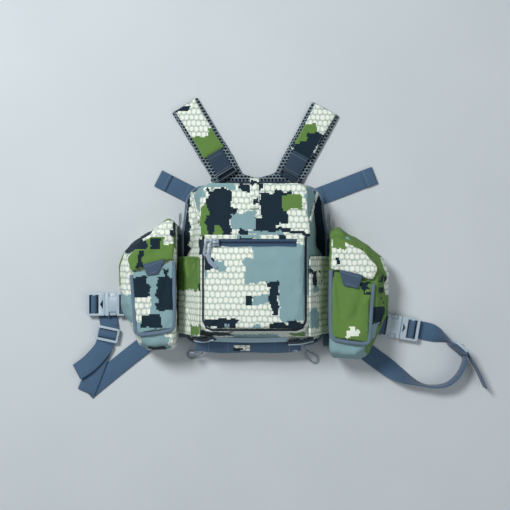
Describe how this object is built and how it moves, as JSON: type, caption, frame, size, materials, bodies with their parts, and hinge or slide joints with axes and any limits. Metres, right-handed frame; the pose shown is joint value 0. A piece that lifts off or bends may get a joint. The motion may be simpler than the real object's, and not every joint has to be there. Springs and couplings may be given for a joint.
{
  "type": "binocular harness pack",
  "caption": "Chest pack for binoculars with a forward-opening lid, zipped front and rear pockets, side pouches on buckled straps and a mesh shoulder yoke.",
  "frame": {"origin": "centre of the back panel's resting face", "axes": "+X across the pack to the wearer's left, +Y up towards the shoulder yoke, +Z out of the front face"},
  "size_m": [0.5699, 0.4189, 0.1026],
  "materials": {
    "camo_fabric": "woven ripstop print",
    "spacer_mesh": "open spacer mesh",
    "webbing": "woven nylon",
    "binding": "grosgrain tape",
    "zip_tape": "knitted tape",
    "buckle_plastic": "moulded acetal",
    "pull_rubber": "moulded soft rubber",
    "zip_metal": "painted die cast",
    "pull_cord": "braided cord"
  },
  "bodies": {
    "pack": {"back_panel": "spacer_mesh", "rear_gusset": "camo_fabric", "perimeter_zip": "zip_tape", "perimeter_piping": "binding", "main_pouch": "camo_fabric", "front_pocket": "camo_fabric", "front_zip_tape": "zip_tape", "bottom_webbing": "webbing", "corner_tab_left": "webbing", "corner_tab_right": "webbing", "lower_zip_sliders": "zip_metal", "stretch_pocket_left": "camo_fabric", "stretch_pocket_right": "camo_fabric"},
    "lid": {"lid": "camo_fabric", "lid_tab": "camo_fabric"},
    "front_slider": {"front_zip_slider": "zip_metal"},
    "front_pull": {"front_zip_pull": "pull_rubber"},
    "yoke": {"yoke_mesh": "spacer_mesh", "yoke_overlay_left": "camo_fabric", "yoke_overlay_right": "camo_fabric", "yoke_webbing_left": "webbing", "yoke_webbing_right": "webbing", "ladder_lock_left": "buckle_plastic", "ladder_lock_right": "buckle_plastic"},
    "bottom_pull": {"bottom_pull": "pull_rubber"},
    "bottom_ring": {"bottom_ring": "pull_rubber"},
    "side_pouch_left": {"side_pouch_left": "camo_fabric", "pouch_panel_left": "camo_fabric", "pouch_hinge_left": "binding", "buckle_loop_left": "webbing", "buckle_female_left": "buckle_plastic", "strap_end_left": "webbing"},
    "flap_left": {"pouch_flap_left": "camo_fabric", "flap_tab_left": "binding"},
    "buckle_left": {"buckle_male_left": "buckle_plastic", "strap_free_left": "webbing", "triglide_left": "buckle_plastic"},
    "release_a_left": {"release_arm_a_left": "buckle_plastic"},
    "release_b_left": {"release_arm_b_left": "buckle_plastic"},
    "upper_strap_left": {"upper_strap_left": "webbing"},
    "zip_slider_left": {"zip_slider_left": "zip_metal"},
    "zip_cord_left": {"zip_cord_left": "pull_cord"},
    "lower_cord_left": {"lower_cord_left": "pull_cord"},
    "side_pouch_right": {"side_pouch_right": "camo_fabric", "pouch_panel_right": "camo_fabric", "pouch_hinge_right": "binding", "buckle_loop_right": "webbing", "buckle_female_right": "buckle_plastic", "strap_end_right": "webbing"},
    "flap_right": {"pouch_flap_right": "camo_fabric", "flap_tab_right": "binding"},
    "buckle_right": {"buckle_male_right": "buckle_plastic", "strap_free_right": "webbing", "triglide_right": "buckle_plastic"},
    "release_a_right": {"release_arm_a_right": "buckle_plastic"},
    "release_b_right": {"release_arm_b_right": "buckle_plastic"},
    "upper_strap_right": {"upper_strap_right": "webbing"},
    "zip_slider_right": {"zip_slider_right": "zip_metal"},
    "zip_cord_right": {"zip_cord_right": "pull_cord"},
    "lower_cord_right": {"lower_cord_right": "pull_cord"}
  },
  "joints": [
    {"name": "lid_hinge", "type": "hinge", "parent": "pack", "child": "lid", "pos_m": [0, 0.037, 0.0953], "axis": [1, 0, 0], "range_deg": [0, 110]},
    {"name": "front_zip", "type": "slide", "parent": "pack", "child": "front_slider", "axis": [1, 0, 0], "range_m": [0, 0.094]},
    {"name": "front_pull_swing", "type": "hinge", "parent": "front_slider", "child": "front_pull", "pos_m": [-0.0565, 0.033, 0.0988], "axis": [1, 0, 0], "range_deg": [-90, 0]},
    {"name": "yoke_swing", "type": "hinge", "parent": "pack", "child": "yoke", "pos_m": [0, 0.112, 0.003], "axis": [1, 0, 0], "range_deg": [0, 35]},
    {"name": "bottom_pull_swing", "type": "hinge", "parent": "pack", "child": "bottom_pull", "pos_m": [-0.0806, -0.1172, 0.029], "axis": [0, 0, 1], "range_deg": [0, 70]},
    {"name": "bottom_ring_swing", "type": "hinge", "parent": "pack", "child": "bottom_ring", "pos_m": [0.055, -0.1154, 0.0314], "axis": [-1, 0, 0], "range_deg": [0, 80]},
    {"name": "pouch_swing_left", "type": "hinge", "parent": "pack", "child": "side_pouch_left", "pos_m": [-0.104, -0.03, 0.005], "axis": [0, -1, 0], "range_deg": [0, 70]},
    {"name": "flap_hinge_left", "type": "hinge", "parent": "side_pouch_left", "child": "flap_left", "pos_m": [-0.134, 0.0415, 0.0724], "axis": [-0.8638, -0.5039, 0], "range_deg": [0, 115]},
    {"name": "buckle_pull_left", "type": "slide", "parent": "side_pouch_left", "child": "buckle_left", "axis": [-1, 0, 0], "range_m": [0, 0.03]},
    {"name": "release_a_press_left", "type": "hinge", "parent": "buckle_left", "child": "release_a_left", "pos_m": [-0.2055, -0.0625, 0.008], "axis": [0, 0, 1], "range_deg": [0, 7], "stiffness_Nm_per_rad": 0.5},
    {"name": "release_b_press_left", "type": "hinge", "parent": "buckle_left", "child": "release_b_left", "pos_m": [-0.2055, -0.0455, 0.008], "axis": [0, 0, -1], "range_deg": [0, 7], "stiffness_Nm_per_rad": 0.5},
    {"name": "upper_strap_swing_left", "type": "hinge", "parent": "pack", "child": "upper_strap_left", "pos_m": [-0.093, 0.0998, 0.0012], "axis": [0.456, 0.89, 0], "range_deg": [0, 80]},
    {"name": "side_zip_left", "type": "slide", "parent": "pack", "child": "zip_slider_left", "axis": [0, -1, 0], "range_m": [0, 0.115]},
    {"name": "zip_cord_swing_left", "type": "hinge", "parent": "zip_slider_left", "child": "zip_cord_left", "pos_m": [-0.1022, 0.0506, 0.017], "axis": [-1, 0, 0], "range_deg": [-60, 0]},
    {"name": "lower_cord_swing_left", "type": "hinge", "parent": "pack", "child": "lower_cord_left", "pos_m": [-0.072, -0.1162, 0.017], "axis": [-1, 0, 0], "range_deg": [0, 80]},
    {"name": "pouch_swing_right", "type": "hinge", "parent": "pack", "child": "side_pouch_right", "pos_m": [0.104, -0.03, 0.005], "axis": [0, 1, 0], "range_deg": [0, 70]},
    {"name": "flap_hinge_right", "type": "hinge", "parent": "side_pouch_right", "child": "flap_right", "pos_m": [0.134, 0.0295, 0.0724], "axis": [-0.8638, 0.5039, 0], "range_deg": [0, 115]},
    {"name": "buckle_pull_right", "type": "slide", "parent": "side_pouch_right", "child": "buckle_right", "axis": [0.986, -0.1668, 0], "range_m": [0, 0.03]},
    {"name": "release_a_press_right", "type": "hinge", "parent": "buckle_right", "child": "release_a_right", "pos_m": [0.20255, -0.07745, 0.008], "axis": [0, 0, 1], "range_deg": [0, 7], "stiffness_Nm_per_rad": 0.5},
    {"name": "release_b_press_right", "type": "hinge", "parent": "buckle_right", "child": "release_b_right", "pos_m": [0.19972, -0.09422, 0.008], "axis": [0, 0, -1], "range_deg": [0, 7], "stiffness_Nm_per_rad": 0.5},
    {"name": "upper_strap_swing_right", "type": "hinge", "parent": "pack", "child": "upper_strap_right", "pos_m": [0.0942, 0.0969, 0.0012], "axis": [0.3583, -0.9336, 0], "range_deg": [0, 80]},
    {"name": "side_zip_right", "type": "slide", "parent": "pack", "child": "zip_slider_right", "axis": [0, -1, 0], "range_m": [0, 0.115]},
    {"name": "zip_cord_swing_right", "type": "hinge", "parent": "zip_slider_right", "child": "zip_cord_right", "pos_m": [0.1022, 0.0506, 0.017], "axis": [-1, 0, 0], "range_deg": [-60, 0]},
    {"name": "lower_cord_swing_right", "type": "hinge", "parent": "pack", "child": "lower_cord_right", "pos_m": [0.072, -0.1162, 0.017], "axis": [-1, 0, 0], "range_deg": [0, 80]}
  ]
}
